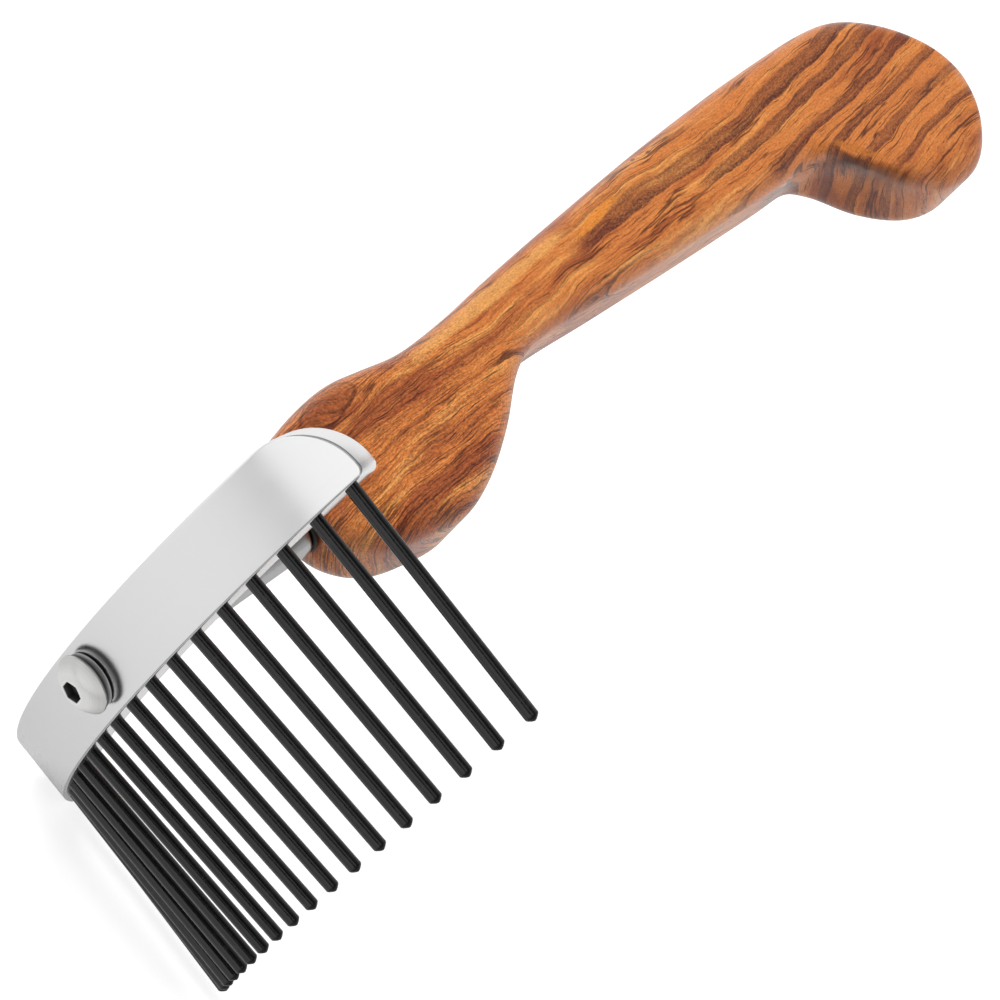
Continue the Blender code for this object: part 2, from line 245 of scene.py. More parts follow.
def makeBrushMarks():
    # Fine lines of a belt or a lathe tool: noise drawn out along one direction of its vector,
    # over a slower unevenness of the same finish.
    group = bpy.data.node_groups.new("brushMarks", "ShaderNodeTree")
    newSocket = group.interface.new_socket
    newSocket("Vector", in_out="INPUT", socket_type="NodeSocketVector")
    newSocket("Contrast", in_out="INPUT", socket_type="NodeSocketFloat")
    for label in ("Shade", "Roughness", "Height"):
        newSocket(label, in_out="OUTPUT", socket_type="NodeSocketFloat")
    given, result = group.nodes.new("NodeGroupInput"), group.nodes.new("NodeGroupOutput")
    spot = given.outputs["Vector"]
    lines, slow = noiseOf(group, spot, *brush["lines"]), noiseOf(group, spot, *brush["slow"])
    slowPart = sums(group, "MULTIPLY", slow, brush["slowShare"])
    height = weighed(group, lines, 1 - brush["slowShare"], slowPart)
    swing = sums(group, "MULTIPLY", sums(group, "SUBTRACT", height, 0.5), brush["gain"])
    shade = weighed(group, swing, given.outputs["Contrast"], 1)
    rough = weighed(group, swing, brush["roughnessSwing"], 1)
    for label, value in (("Shade", shade), ("Roughness", rough), ("Height", height)):
        group.links.new(value, result.inputs[label])
    return group


brushMarks = makeBrushMarks()


def metalLook(name, finish, turned=False):
    # Bare metal with tool marks: edges are polished smoother and painted a little brighter, a
    # painted highlight (the edge mask), and painted shade darkens the places the shade mask marks.
    look, tree, shader = newLook(name)
    axis = [headPlace[0] - head["screwHeight"] / 1000, headPlace[1], headPlace[2]]
    spot = vectorSums(tree, "SUBTRACT", objectSpot(tree), axis)
    if turned:  # rings round the screw's axis: only the radius and the reach count
        x, y, z = partsOf(tree, spot)
        spot = vectorOf(tree, lengthOf(tree, vectorOf(tree, x, z)), y)
    spot = vectorSums(tree, "MULTIPLY", spot, finish["markScale"])
    marks = put(tree, "ShaderNodeGroup", node_tree=brushMarks)
    tree.links.new(spot, marks.inputs["Vector"])
    marks.inputs["Contrast"].default_value = finish["markContrast"]
    # the shade mask darkens the colour, a painted shade; the edge mask brightens it, a painted
    # highlight, and makes it smoother
    edge, paintedShade = maskOf(tree, "edge"), maskOf(tree, "shade")
    unshaded = weighed(tree, paintedShade, -brush["shadeDark"], 1)
    tone = weighed(tree, edge, finish["edgeHighlight"], marks.outputs["Shade"])
    tone = sums(tree, "MULTIPLY", tone, unshaded)
    colour = scaled(tree, finish["colour"], tone)
    gloss = sums(tree, "MULTIPLY", marks.outputs["Roughness"], finish["roughness"])
    gloss = weighed(tree, edge, -brush["edgePolish"] * finish["roughness"], gloss)
    gloss = weighed(tree, paintedShade, brush["shadeRough"], gloss)
    setSurface(tree, shader, colour, gloss, marks.outputs["Height"], finish["relief"])
    shader.inputs["Metallic"].default_value = 1
    return look


plate = {
    "bendRadius": 110, "length": 126.4, "height": 12, "thickness": 5.6,
    "front": 1.9,  # the front face before the line of the tines
    "middle": -2,  # the plate's middle beside the screw's axis
    "spineLength": 11, "spineHeight": 10.4,  # the long arc of both upper corners
    "rootCorner": 1.3, "frontRound": 0.45, "backRound": 0.4,
    "stations": 180, "roundSteps": 8, "faceSteps": 12,
    # painted shade: along the turn of the front's lower edge, then in both ends' lowest part
    "lowEdgeShade": ((0.2, 0), (0.4, 0.62), (0.7, 0.6), (0.95, 0)),
    "patch": 0.45, "lowShadePatch": ((0.1, 0), (0.7, 1)), "topShadePatch": ((1, 1), (2.3, 0)),
    # painted shade: on the upper edge's arcs, growing into each; and growing towards the far
    # end, from this share of the length past the middle
    "bandShade": 0.03, "bandStart": ((0, 0), (0.4, 1)), "farEndShade": 0.5, "farShadeFrom": 0.42,
    "finish": {
        "colour": (0.94, 0.94, 0.94), "roughness": 0.16, "markScale": (9000, 90, 90),
        "markContrast": 0.012, "relief": 0.04, "edgeHighlight": 0,
    },
}


def bent(along, height, outward):
    # Points of the flat plate, carried round the bend.
    angle = (along + plate["middle"]) / plate["bendRadius"]
    radius = plate["bendRadius"] + outward
    y = plate["bendRadius"] - radius * np.cos(angle)
    return np.stack([0 * angle - height, y, radius * np.sin(angle)], -1)


def plateShade(top, low, topIn, lowIn, turn, face):
    # The painted shade of every point. Each row runs as the section does: the front face,
    # the lower rim from front to back, the back face, and the upper rim from back to front.
    flat = np.zeros((len(top), face))
    bare = np.zeros((len(top), 2 * len(turn)))

    def sectionOf(onLow, onTop):
        return np.concatenate([flat, onLow, flat, onTop], 1)

    # painted shade: a dark line on the front's lower edge, dark patches in the ends' lowest part,
    # a little on the upper arcs, and more towards the far end
    lowEdgeShadeTurn = np.concatenate([readTable(turn, plate["lowEdgeShade"]), 0 * turn])
    lowEdgeShade = sectionOf(lowEdgeShadeTurn * (1 - lowIn[:, None]), bare)
    frontHalf = np.concatenate([np.sin(turn), 0 * turn])
    lowShadePatch = readTable(low[:, 1], plate["lowShadePatch"]) * (lowIn > 0)
    topShadePatch = readTable(top[:, 1], plate["topShadePatch"]) * (topIn > 0)
    patch = sectionOf(lowShadePatch[:, None] * frontHalf, topShadePatch[:, None] * frontHalf[::-1])
    band = sectionOf(bare, readTable(topIn, plate["bandStart"])[:, None] + bare)
    shade = lowEdgeShade + plate["patch"] * patch + plate["bandShade"] * band * (1 - patch)
    toFarEnd = np.clip(plate["farShadeFrom"] - top[:, 0] / plate["length"], 0, 1)
    return np.maximum(shade, plate["farEndShade"] * toFarEnd[:, None])


def makePlate():
    # For each station along the plate, a closed section: down the front, round under the lower
    # edge, up the back and over. The upper corners are quarter ellipses, the lower ones quarter
    # circles, and all edges are rounded along the outline's own normal.
    half, spine, tall = plate["length"] / 2, plate["spineLength"], plate["spineHeight"]
    root = plate["rootCorner"]
    along = -half * np.cos(np.linspace(0, np.pi, plate["stations"]))
    side = np.sign(along)
    topIn = np.clip((np.abs(along) - (half - spine)) / spine, 0, 1)
    lowIn = np.clip((np.abs(along) - (half - root)) / root, 0, 1)
    rise, fall = np.sqrt(1 - topIn**2), np.sqrt(1 - lowIn**2)
    top = np.stack([along, plate["height"] - tall * (1 - rise)], -1)
    low = np.stack([along, root * (1 - fall)], -1)
    topWay = np.stack([side * topIn / spine, rise / tall], -1)
    topWay /= np.linalg.norm(topWay, axis=1)[:, None]
    lowWay = np.stack([side * lowIn, -fall], -1)

    turn = np.linspace(0, np.pi / 2, plate["roundSteps"])
    front, back = plate["front"], plate["front"] - plate["thickness"]
    inset = np.concatenate([plate["frontRound"] * (1 - np.sin(turn)),
                            plate["backRound"] * (1 - np.sin(turn[::-1]))])
    deep = np.concatenate([front - plate["frontRound"] * (1 - np.cos(turn)),
                           back + plate["backRound"] * (1 - np.cos(turn[::-1]))])
    topRim = top[:, None] - topWay[:, None] * inset[None, :, None]
    lowRim = low[:, None] - lowWay[:, None] * inset[None, :, None]
    share = np.linspace(0, 1, plate["faceSteps"])[1:-1]
    down, up = (1 - share)[None, :, None], share[None, :, None]
    frontFace = topRim[:, :1] * down + lowRim[:, :1] * up
    backFace = lowRim[:, -1:] * down + topRim[:, -1:] * up
    loop = np.concatenate([frontFace, lowRim, backFace, topRim[:, ::-1]], 1)
    depth = np.concatenate([front + 0 * share, deep, back + 0 * share, deep[::-1]])
    points = bent(loop[..., 0], loop[..., 1], depth[None, :] + 0 * loop[..., 0])

    polishAndHighlight = np.tile(np.sin(2 * turn) ** 2, 2)
    edge = np.concatenate([0 * share, polishAndHighlight, 0 * share, polishAndHighlight[::-1]])
    shade = plateShade(top, low, topIn, lowIn, turn, len(share))

    count, rim = loop.shape[1], len(deep)
    quads = gridQuads(plate["stations"], count)
    under = len(share) + np.arange(rim)
    over = 2 * len(share) + rim + np.arange(rim)[::-1]
    for first in (0, (plate["stations"] - 1) * count):  # the narrow flat at each end
        ends = np.stack([under[:-1], under[1:], over[1:], over[:-1]], -1) + first
        quads = np.concatenate([quads, ends])
    look = metalLook("plateSteel", plate["finish"])
    buildPiece("headPlate", points, quads, look, "head_plate",
               {"edge": edge[None], "shade": shade})


makePlate()
print("head plate made")

tine = {
    "count": 18, "pitch": 7, "diameter": 2.1, "length": 38.7,
    "seat": 2.7,  # how deep it stands in the plate
    "leanBack": 0.05, "leanForward": 0.31,  # slopes at the middle, and gained towards the ends
    "collar": 0.4,  # rings this far above and below the plate's edge
    "steps": 36,
    # the ground point: share of the radius, distance short of the end, blackness
    "point": (
        (1, 0.95, 0), (1, 0.78, 0.1), (0.95, 0.66, 0.8), (0.82, 0.5, 1), (0.45, 0.2, 1),
        (0.18, 0.05, 1), (0, 0, 1),
    ),
    "coating": (0.008, 0.008, 0.009), "dusty": (0.045, 0.045, 0.047), "pointTone": 0.01,
    # noises: scale, detail, roughness; dust shows where its noise is in the range
    "skin": (5200, 2, 0.5), "dust": (900, 5, 0.7), "dustRange": (0.55, 0.75),
    "dustShare": 0.4, "dustRoughness": 0.2, "skinRelief": 0.5, "skinRoughness": 0.16,
    "roughness": 0.09, "pointRoughness": 0.15, "pointMetal": 0.9,
}


def tineLook():
    # A thin black coating: its skin is finely pebbled, dust shows as paler specks, and the
    # ground point (the tip mask) is left black with hardly any gloss.
    look, tree, shader = newLook("tineBlack")
    spot = objectSpot(tree)
    skin, dust = noiseOf(tree, spot, *tine["skin"]), noiseOf(tree, spot, *tine["dust"])
    few, full = tine["dustRange"]
    specks = put(tree, "ShaderNodeMapRange", {
        "Value": dust, "From Min": few, "From Max": full}).outputs[0]
    tip = maskOf(tree, "tip")
    dusty = sums(tree, "MULTIPLY", specks, tine["dustShare"])
    colour = blend(tree, dusty, tine["coating"], tine["dusty"])
    colour = blend(tree, tip, colour, grey(tine["pointTone"]))
    tree.links.new(sums(tree, "MULTIPLY", tip, tine["pointMetal"]), shader.inputs["Metallic"])
    gloss = weighed(tree, skin, tine["skinRoughness"], tine["roughness"])
    gloss = weighed(tree, specks, tine["dustRoughness"], gloss)
    gloss = weighed(tree, tip, tine["pointRoughness"], gloss)
    setSurface(tree, shader, colour, gloss, skin, tine["skinRelief"])
    return look


def makeTines():
    # Radius and distance below the plate, carried round each tine's own leaning axis. A tine
    # leans forward with the square of the sine of its place on the bend.
    look = tineLook()
    radius, length, collar = tine["diameter"] / 2, tine["length"], tine["collar"]
    shaft = [(0, -tine["seat"]), (radius, -tine["seat"]), (radius, -collar), (radius, 0),
             (radius, collar), (radius, length * 0.5)]
    point = [(radius * share, length - short) for share, short, black in tine["point"]]
    profile = np.array(shaft + point)
    tip = np.array([0] * len(shaft) + [black for share, short, black in tine["point"]])
    turn = fullTurn(tine["steps"])
    first = plate["middle"] - tine["pitch"] * (tine["count"] - 1) / 2
    angle = (first + tine["pitch"] * np.arange(tine["count"])) / plate["bendRadius"]
    root = plate["bendRadius"] * np.stack([0 * angle, 1 - np.cos(angle), np.sin(angle)], -1)
    lean = tine["leanBack"] - tine["leanForward"] * np.sin(angle) ** 2
    way = np.stack([1 + 0 * angle, lean, 0 * angle], -1)
    way /= np.linalg.norm(way, axis=1)[:, None]
    side = np.array([0, 0, 1])
    sideways = np.cos(turn)[None, :, None] * side
    ring = sideways + np.sin(turn)[None, :, None] * np.cross(side, way)[:, None]
    down = root[:, None] + way[:, None] * profile[None, :, 1, None]
    points = down[:, :, None] + ring[:, None] * profile[None, :, 0, None, None]
    quads = gridQuads(len(profile), tine["steps"])
    for i, rows in enumerate(points):
        buildPiece(f"tine{i + 1:02d}", rows, quads, look, f"tine_{i + 1:02d}",
                   {"tip": tip[:, None]})


makeTines()
print("tines made")

screw = {
    "seat": 3.3,  # the head's underside before the line of the tines
    "headDiameter": 9.5, "headHeight": 2.75, "rim": 0.35,
    "flats": 3, "socketDepth": 1.7, "drillPoint": 0.35, "mouthBevel": 0.12,
    "shank": 4.5, "length": 16, "shankChamfer": 0.4, "steps": 96,
    # a ring on the drill point: share of the corner's radius, below the floor, round share
    "drillRing": (0.6, 0.12, 0.5),
    # rings of the socket's mouth: outside the corner, below the dome, round share
    "mouthRings": ((0, 0.14, 0), (0.05, 0.05, 0.1)),
    # the dome's rings: the first two outside the mouth, the last one's share of the rim, count
    "domeStart": (0.02, 0.2), "domeEnd": 0.985, "domeRings": 16,
    "lipRound": 0.45, "roundGain": 1.2,  # round share at the mouth, and what a millimetre adds
    "rimRings": ((0.01, 0.02), (0, -0.06)),  # inside the rim, above its upper edge
    "underBevel": 0.1,
    # painted highlight and polish: of the mouth, outside the corner, how wide, above what; and the
    # rim's width
    "mouthPolishHighlight": (0.1, 0.12, 1.2), "rimPolishHighlight": 0.1,
    # painted shade: in the socket, on its mouth, towards the dome's rim and under the head
    "socketShade": 0.9, "mouthShade": 0.35, "domeShade": ((0.6, 0), (1, 0.3)), "gapShade": 0.9,
    "finish": {
        "colour": (0.79, 0.785, 0.775), "roughness": 0.26, "markScale": (1400, 1400, 1400),
        "markContrast": 0.09, "relief": 0.3, "edgeHighlight": 0.12,
    },
}


def makeScrew():
    # Rings from the socket's floor out over the dome, hexagonal in the socket and round outside:
    # a ring's radius runs from the hexagon's own to the circle's as its round share grows. The
    # dome is a sphere's cap.
    turn = fullTurn(screw["steps"])
    hexagon = np.cos(np.pi / 6) / np.cos((turn + np.pi / 6) % (np.pi / 3) - np.pi / 6)
    corner = screw["flats"] / 2 / math.cos(math.pi / 6)
    rim, rise = screw["headDiameter"] / 2, screw["headHeight"] - screw["rim"]
    dome = (rim**2 + rise**2) / (2 * rise)

    def domeHeight(r):
        return screw["rim"] + math.sqrt(dome**2 - r**2) - (dome - rise)

    # radius, reach and round share of each ring
    floor, mouth = screw["headHeight"] - screw["socketDepth"], corner + screw["mouthBevel"]
    lip, shank, length = domeHeight(mouth), screw["shank"] / 2, screw["length"]
    share, below, part = screw["drillRing"]
    socket = [(0, floor - screw["drillPoint"], 1), (corner * share, floor - below, part),
              (corner, floor, 0)]
    socket += [(corner + out, lip - below, part) for out, below, part in screw["mouthRings"]]
    first, second = (mouth + out for out in screw["domeStart"])
    cap = [(first, domeHeight(first), screw["lipRound"])]
    cap += [(r, domeHeight(r), min(1, screw["lipRound"] + (r - mouth) * screw["roundGain"]))
            for r in np.linspace(second, rim * screw["domeEnd"], screw["domeRings"])]
    cap += [(rim - inside, screw["rim"] + above, 1) for inside, above in screw["rimRings"]]
    gap = [(rim, screw["underBevel"], 1), (rim - screw["underBevel"], 0, 1)]
    stem = [(shank, 0, 1), (shank, screw["shankChamfer"] - length, 1),
            (shank - screw["shankChamfer"], -length, 1), (0, -length, 1)]
    rows = np.array(socket + cap + gap + stem)
    radius, reach, roundShare = rows.T[:, :, None]
    across = radius * (roundShare + (1 - roundShare) * hexagon)
    points = aroundAxis(across, reach + screw["seat"], turn)

    out, wide, above = screw["mouthPolishHighlight"]
    # the mouth's edge and the rim are polished smoother and painted brighter, a painted highlight
    onMouth = np.exp(-((radius - corner - out) / wide) ** 2) * (reach > above)
    polishAndHighlight = onMouth + np.exp(-((radius - rim) / screw["rimPolishHighlight"]) ** 2)
    # painted shade in the socket and on its mouth, towards the dome's rim and in the gap under the
    # head
    paintedShade = readTable(rows[:, 0] / rim, screw["domeShade"])
    paintedShade[:len(socket) - 1] = screw["socketShade"]
    paintedShade[len(socket) - 1] = screw["mouthShade"]
    paintedShade[-len(gap + stem):-len(stem)] = screw["gapShade"]
    look = metalLook("screwSteel", screw["finish"], turned=True)
    buildPiece("headScrew", points, gridQuads(len(rows), screw["steps"]), look, "head_screw",
               {"edge": polishAndHighlight, "shade": paintedShade[:, None]})


washer = {
    "seat": 2.1, "thickness": 1, "outer": 8.8, "inner": 5.1, "round": 0.16,
    "split": 0.8, "slant": 20, "steps": 90, "roundSteps": 4,
    "paintedShade": 0.85,  # painted shade on the outer corner, in the gap under the screw's head
    "finish": {
        "colour": (0.5, 0.5, 0.5), "roughness": 0.3, "markScale": (2500, 2500, 2500),
        "markContrast": 0.2, "relief": 0.6, "edgeHighlight": 0.2,
    },
}


def makeWasher():
    # A rounded rectangle carried round the axis from one side of the split to the other; the
    # split's faces slant, so the turn of each point depends on its depth.
    r, thickness = washer["round"], washer["thickness"]
    outer, inner = washer["outer"] / 2, washer["inner"] / 2
    quarter = np.linspace(0, np.pi / 2, washer["roundSteps"])
    middles = ((outer - r, thickness - r), (inner + r, thickness - r), (inner + r, r),
               (outer - r, r))
    corners = []
    for i, (radius, reach) in enumerate(middles):
        turn = quarter + i * np.pi / 2
        corners.append(np.stack([radius + r * np.cos(turn), reach + r * np.sin(turn)], -1))
    section = np.concatenate(corners)
    gap = washer["split"] / outer
    lean = math.tan(math.radians(washer["slant"])) / outer
    share = np.linspace(0, 1, washer["steps"])[:, None]
    shift = lean * (section[:, 1] - thickness / 2)
    angle = gap / 2 + shift + share * (2 * np.pi - gap)
    points = aroundAxis(section[:, 0], section[:, 1] + washer["seat"], angle)
    count = len(section)
    quads = gridQuads(washer["steps"], count)
    near = np.arange(count // 2)[:-1]
    far = count - 1 - near
    for start in (0, (washer["steps"] - 1) * count):  # the two faces of the split
        caps = np.stack([near, near + 1, far - 1, far], -1) + start
        quads = np.concatenate([quads, caps])
    # the corners are polished smoother and painted brighter, a painted highlight
    polishAndHighlight = np.tile(np.sin(2 * quarter) ** 2, 4)
    # painted shade on the outer corner next to the screw's head
    paintedShade = np.repeat((washer["paintedShade"], 0, 0, 0), len(quarter))
    look = metalLook("washerSteel", washer["finish"], turned=True)
    buildPiece("lockWasher", points, quads, look, "lock_washer",
               {"edge": polishAndHighlight[None], "shade": paintedShade[None]})


makeScrew()
makeWasher()
print("screw and washer made")

rod = {
    "diameter": 6.8, "shoulder": 40.8, "chamfer": 0.5, "tang": 5.4, "tangLength": 26,
    "bore": 5.1, "boreEnd": 15, "steps": 96,
    "shaftRings": 12, "shaftMargins": (0.6, 0.3),  # behind the front, before the chamfer
    "chamferLip": 0.04,  # the chamfer's first ring, inside the surface
    "polishHighlight": (0.3, 0.3),  # painted highlight and polish: before the shoulder, and how wide
    # the front edge's round: inside the surface, behind the end
    "frontRound": ((0.25, 0), (0.07, 0.07), (0, 0.25)),
    "finish": {
        "colour": (0.47, 0.47, 0.47), "roughness": 0.2, "markScale": (900, 2600, 900),
        "markContrast": 0.05, "relief": 0.25, "edgeHighlight": 0.35,
    },
}


def makeRod():
    # A radius at each reach, carried round the axis: the threaded hole, the shaft, the
    # chamfered shoulder and the tang in the wood. The shoulder's chamfer is polished smoother
    # and painted brighter, a painted highlight.
    outer, tang, bore = rod["diameter"] / 2, rod["tang"] / 2, rod["bore"] / 2
    cut, front = rod["chamfer"], -head["rodFront"]
    shoulder, end = -rod["shoulder"], -rod["shoulder"] - rod["tangLength"]
    profile = [(0, -rod["boreEnd"]), (bore, -rod["boreEnd"]), (bore, front)]
    profile += [(outer - inside, front - behind) for inside, behind in rod["frontRound"]]
    behind, before = rod["shaftMargins"]
    shaft = np.linspace(front - behind, shoulder + cut + before, rod["shaftRings"])
    profile += [(outer, reach) for reach in shaft]
    profile += [(outer - rod["chamferLip"], shoulder + cut), (outer - cut, shoulder),
                (tang, shoulder), (tang, end + cut), (tang - cut, end), (0, end)]
    radius, reach = np.array(profile).T[:, :, None]
    before, wide = rod["polishHighlight"]
    # the chamfer polished smoother and painted brighter: a painted highlight
    polishAndHighlight = np.exp(-((reach - shoulder - before) / wide) ** 2) * (radius > tang)
    look = metalLook("rodSteel", rod["finish"], turned=True)
    buildPiece("supportRod", aroundAxis(radius, reach, fullTurn(rod["steps"])),
               gridQuads(len(profile), rod["steps"]), look, "support_rod",
               {"edge": polishAndHighlight})


spacer = {
    "front": 41, "thickness": 0.8, "outer": 6.8, "inner": 6, "round": 0.15, "steps": 80,
    "roundSteps": 4, "tones": ((0.3, 0.006), (0.7, 0.016)), "roughness": (0.4, 0.65),
    "grain": (3000, 3, 0.5), "relief": 0.4,
}


def makeSpacer():
    # A square ring whose outer edges are quarter rounds, carried round the axis. One fine noise
    # sets its tone, its roughness and its relief.
    outer, inner, r = spacer["outer"] / 2, spacer["inner"] / 2, spacer["round"]
    near, far = -spacer["front"], -spacer["front"] - spacer["thickness"]
    turn = np.linspace(0, np.pi / 2, spacer["roundSteps"])
    profile = [(inner, near)]
    profile += [(outer - r + r * math.sin(t), near - r + r * math.cos(t)) for t in turn]
    profile += [(outer - r + r * math.cos(t), far + r - r * math.sin(t)) for t in turn]
    profile += [(inner, far), (inner, near)]
    radius, reach = np.array(profile).T[:, :, None]
    look, tree, shader = newLook("spacerBlack")
    grain = noiseOf(tree, objectSpot(tree), *spacer["grain"])
    colour = ramp(tree, grain, [(at, grey(tone)) for at, tone in spacer["tones"]])
    smooth, rough = spacer["roughness"]
    gloss = put(tree, "ShaderNodeMapRange", {"Value": grain, "To Min": smooth, "To Max": rough})
    setSurface(tree, shader, colour, gloss.outputs[0], grain, spacer["relief"])
    buildPiece("rodSpacer", aroundAxis(radius, reach, fullTurn(spacer["steps"])),
               gridQuads(len(profile), spacer["steps"]), look, "rod_spacer")


makeRod()
makeSpacer()
print("rod and spacer made")

handle = {
    "thickness": 18.5, "roundOver": 4.5, "leastFlat": 0.3,
    "noseWidth": 11, "noseTaper": 11, "endWidth": 9.5, "endTaper": 5.5,
    "stepsPerRib": 14, "smoothing": 1.8, "roundSteps": 13, "flatSteps": 18,
    "capRings": (0, 0.35, 0.7),  # their size against the last ring's
    # the belly's near corner: its radius and how much lower it hangs, each at a y
    "creaseRound": ((42, 4.5), (166, 4.5), (171, 1.6), (177, 2.4), (186, 5), (210, 5.5)),
    "creaseDrop": ((170, 0), (172.4, 3), (174.8, 3.9), (180.7, 2.2), (187, 0)),
    # its painted shade in the crease: along the handle, round the corner, and on the flat's first
    # points
    "creaseShadeAlong": ((170.2, 0), (171.5, 1), (175.5, 0.9), (180, 0.5), (185, 0)),
    "creaseShadeTurn": ((0.1, 0), (0.6, 0.95), (1.2, 1)),
    "creaseShadeFlat": (0.9, 0.75, 0.6, 0.45, 0.3, 0.2, 0.1),
    "creaseFade": 1.5,  # how fast the hanging dies away towards the far side
    # each rib: the back's y and height, then the belly's; heights are above the plate's lower edge
    "ribs": (
        (42, 11.7, 42, 3), (42.7, 15.9, 43.9, -0.8), (45.1, 19.4, 49, -4.5),
        (51.2, 21, 56.2, -6.3), (58, 21.6, 63.5, -6.9), (64.5, 20.7, 71.2, -4.5),
        (72.6, 19.5, 79.6, 0.2), (84, 20.1, 88.5, 6.5), (96, 21.6, 97, 8.8),
        (115, 23.5, 116, 8.1), (137, 25.4, 139, 7.3), (158, 26.6, 159, 6.8),
        (168, 26.9, 169.3, 6.5), (176, 27, 175.2, 2.5), (184, 26.9, 180.7, -4.4),
        (191.5, 25.9, 187.8, -9.5), (197.6, 22.9, 195, -11), (203.2, 17.9, 200.7, -9.3),
        (207.3, 11.5, 206.2, -3.4), (209.7, 5.9, 209.2, 3.6),
    ),
    # the grain's height: slopes on the grip about a y and over the hook from a y on, the tilt
    # into the wood, and how far the two warping noises move it
    "gripSlope": -0.04, "gripMiddle": 120, "hookSlope": -0.11, "hookStart": 158,
    "hookBlend": 14, "depthTilt": -0.3, "broadWarp": 4.6, "smallWarp": 1.7,
    # each noise: its pace along the handle, across the grain and into the wood, detail, roughness
    "noises": {
        "broad": (0.036, 0.05, 0.03, 2, 0.5), "small": (0.13, 0.15, 0.06, 3, 0.5),
        "streak": (0.04, 0.8, 0.05, 5, 0.62), "zone": (0.03, 0.2, 0.05, 4, 0.6),
        "vein": (0.02, 0.42, 0.03, 3, 0.5), "veinGap": (0.07, 0.3, 0.05, 2, 0.5),
        "hair": (0.13, 3.6, 0.1, 3, 0.68), "hairGap": (0.05, 0.22, 0.05, 2, 0.5),
        "speckle": (1.7, 4, 3, 3, 0.8), "bandGap": (0.05, 0.2, 0.05, 2, 0.5),
        "pore": (0.5, 4.2, 0.5, 2, 0.6),
    },
    # steps of a place or a noise: where it starts and ends, and the values there if not 0 and 1
    "steps": {
        "calm": (145, 168, 1, 0.55), "nose": (100, 70), "red": (0.48, 0.64),
        "vein": (0.024, 0.004), "veinGap": (0.36, 0.56), "hair": (0.55, 0.66),
        "hairGap": (0.44, 0.6), "busyStart": (96, 112), "busyEnd": (140, 122),
        "bandGap": (0.3, 0.5, 0.7, 1), "bandGrains": (0.36, 0.64, 1, 0.66),
        "eyeSpread": (0.6, 2.6, 0.75, 0), "eyeEdge": (1, 0.8, 0, 0.55),
        "eyeRim": (0.1, 0.02, 0, 0.5), "patchEdge": (1.1, 0.55), "pore": (0.62, 0.74),
        "creaseShadeGap": (0.4, 0.65, 1, 0.7),
    },
    "ground": ((0.36, "brown"), (0.46, "tan"), (0.53, "tan"), (0.64, "pale")),
    # dark bands: height across the grain, width, darkness, first and last y
    "bands": (
        (17.4, 3.6, 1, 108, 230), (13, 2.4, 1, 138, 230), (7.6, 2.3, 1, 152, 230),
        (2.6, 2.1, 1, 160, 230), (-2.4, 2, 0.95, 168, 230), (-7.4, 1.8, 0.9, 176, 230),
        (9.8, 0.5, 0.7, 86, 130), (20.2, 0.6, 0.7, 92, 146), (6.8, 0.7, 0.45, 40, 82),
        (0.5, 0.6, 0.5, 40, 74), (14.2, 1.6, 0.4, 70, 118),
    ),
    "bandFade": 8,
    "bandProfile": ((0, 0), (0.1, 1), (0.26, 0.95), (0.44, 0.68), (0.8, 0.76), (1, 0)),
    # patches of figure and painted highlights: y, height, half length, half height, slope, colour,
    # strength
    "figuresAndHighlights": (
        (118.5, 19.4, 7.5, 0.95, 0.2, (0.92, 0.31, 0.045), 0.85),
        # a pale strip along the near face's upper edge: a painted highlight
        (92, 18.8, 25, 1.7, 0.09, (0.98, 0.46, 0.13), 0.75),
        # a pale glow above the hook's crease: a painted highlight
        (174.6, 3.6, 4.2, 1.5, -1, (0.6, 0.19, 0.03), 0.75),
        (137.4, 23.7, 1, 0.6, 0.1, (0.17, 0.035, 0.02), 0.9),
        (134.3, 24.2, 0.7, 0.35, 0.1, (0.15, 0.035, 0.02), 0.8),
    ),
    "patchDepth": 2.5, "patchWarp": 1.2,
    "eye": (53.3, 18.3, 6.2, 2.7, 0.16), "eyeDepth": 5, "eyeWarp": 0.7,
    "colours": {
        "pale": (0.98, 0.42, 0.11), "tan": (0.77, 0.245, 0.058), "brown": (0.46, 0.115, 0.032),
        "red": (0.37, 0.08, 0.026), "dark": (0.135, 0.034, 0.022), "line": (0.06, 0.014, 0.01),
        "eye": (0.36, 0.1, 0.03),
    },
    "redShare": 0.8, "veinShare": 0.8, "hairShare": 0.7, "leastHair": 0.12, "poreShare": 0.6,
    "busyHair": 0.5, "speckleSwing": 1.5,
    "noseRed": 0.02, "noseHair": 0.06, "noseSwing": 1.4,  # what the nose has more of
    "roughness": 0.52, "poreRoughness": 0.2, "streakRoughness": -0.2,
    "poreHeight": -0.6, "relief": 0.25, "reliefDepth": 0.00005,
    "specular": 0.2, "lacquer": 0.65, "lacquerIndex": 1.42, "lacquerRoughness": 0.24,
}


